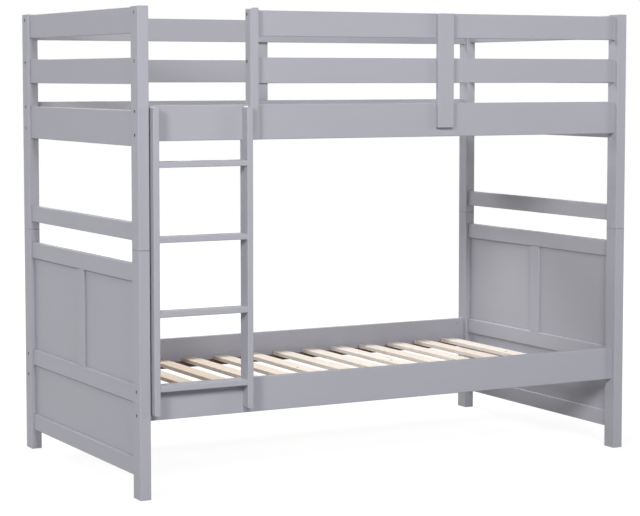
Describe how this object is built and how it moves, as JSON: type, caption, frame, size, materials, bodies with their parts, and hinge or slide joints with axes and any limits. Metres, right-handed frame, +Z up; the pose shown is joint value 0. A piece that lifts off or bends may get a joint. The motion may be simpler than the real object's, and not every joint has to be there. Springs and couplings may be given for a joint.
{
  "type": "bunk bed",
  "caption": "Straight twin over twin bunk bed in grey painted wood, with framed lower ends, guard rails, slat bases and a fixed front ladder.",
  "frame": {"origin": "on the floor, under the centre of the whole bed with its ladder", "axes": "+X along the bed with the ladder at the -X end, +Y from the ladder side to the rear, +Z up"},
  "size_m": [2, 1.126, 1.65],
  "materials": {
    "grey_paint": "satin grey paint on smooth wood",
    "pine": "bare planed pine",
    "dark_steel": "dark plated steel",
    "zinc_steel": "zinc plated steel"
  },
  "bodies": {
    "lower_bed": {"post_lower_front_left": "grey_paint", "post_lower_front_right": "grey_paint", "post_lower_rear_left": "grey_paint", "post_lower_rear_right": "grey_paint", "head_rail_left": "grey_paint", "head_rail_right": "grey_paint", "head_stile_left": "grey_paint", "head_stile_right": "grey_paint", "middle_rail_left": "grey_paint", "middle_rail_right": "grey_paint", "bottom_rail_left": "grey_paint", "bottom_rail_right": "grey_paint", "head_panels_left": "grey_paint", "head_panels_right": "grey_paint", "low_panel_left": "grey_paint", "low_panel_right": "grey_paint", "side_rail_lower_front": "grey_paint", "side_rail_lower_rear": "grey_paint", "ledgers_lower": "pine", "slats_lower": "pine", "slat_screws_lower": "zinc_steel", "rail_bolts_lower": "dark_steel", "barrel_nuts_lower": "zinc_steel", "stacking_pins": "zinc_steel"},
    "upper_bed": {"post_upper_front_left": "grey_paint", "post_upper_front_right": "grey_paint", "post_upper_rear_left": "grey_paint", "post_upper_rear_right": "grey_paint", "crest_rail_left": "grey_paint", "crest_rail_right": "grey_paint", "second_rail_left": "grey_paint", "second_rail_right": "grey_paint", "wide_rail_left": "grey_paint", "wide_rail_right": "grey_paint", "narrow_rail_left": "grey_paint", "narrow_rail_right": "grey_paint", "side_rail_upper_front": "grey_paint", "side_rail_upper_rear": "grey_paint", "ledgers_upper": "pine", "slats_upper": "pine", "slat_screws_upper": "zinc_steel", "guard_rail_top_front": "grey_paint", "guard_rail_top_rear": "grey_paint", "guard_rail_mid_front": "grey_paint", "guard_rail_mid_rear": "grey_paint", "guard_post": "grey_paint", "centre_board_front": "grey_paint", "centre_board_rear": "grey_paint", "ladder_stile_left": "grey_paint", "ladder_stile_right": "grey_paint", "ladder_rung_1": "grey_paint", "ladder_rung_2": "grey_paint", "ladder_rung_3": "grey_paint", "ladder_rung_4": "grey_paint", "rail_bolts_upper": "dark_steel", "barrel_nuts_upper": "zinc_steel", "rung_screws": "dark_steel", "ladder_bolts": "dark_steel", "board_screws": "zinc_steel"}
  },
  "joints": [
    {"name": "upper_bed_lift", "type": "slide", "parent": "lower_bed", "child": "upper_bed", "axis": [0, 0, 1], "range_m": [0, 0.1]}
  ]
}
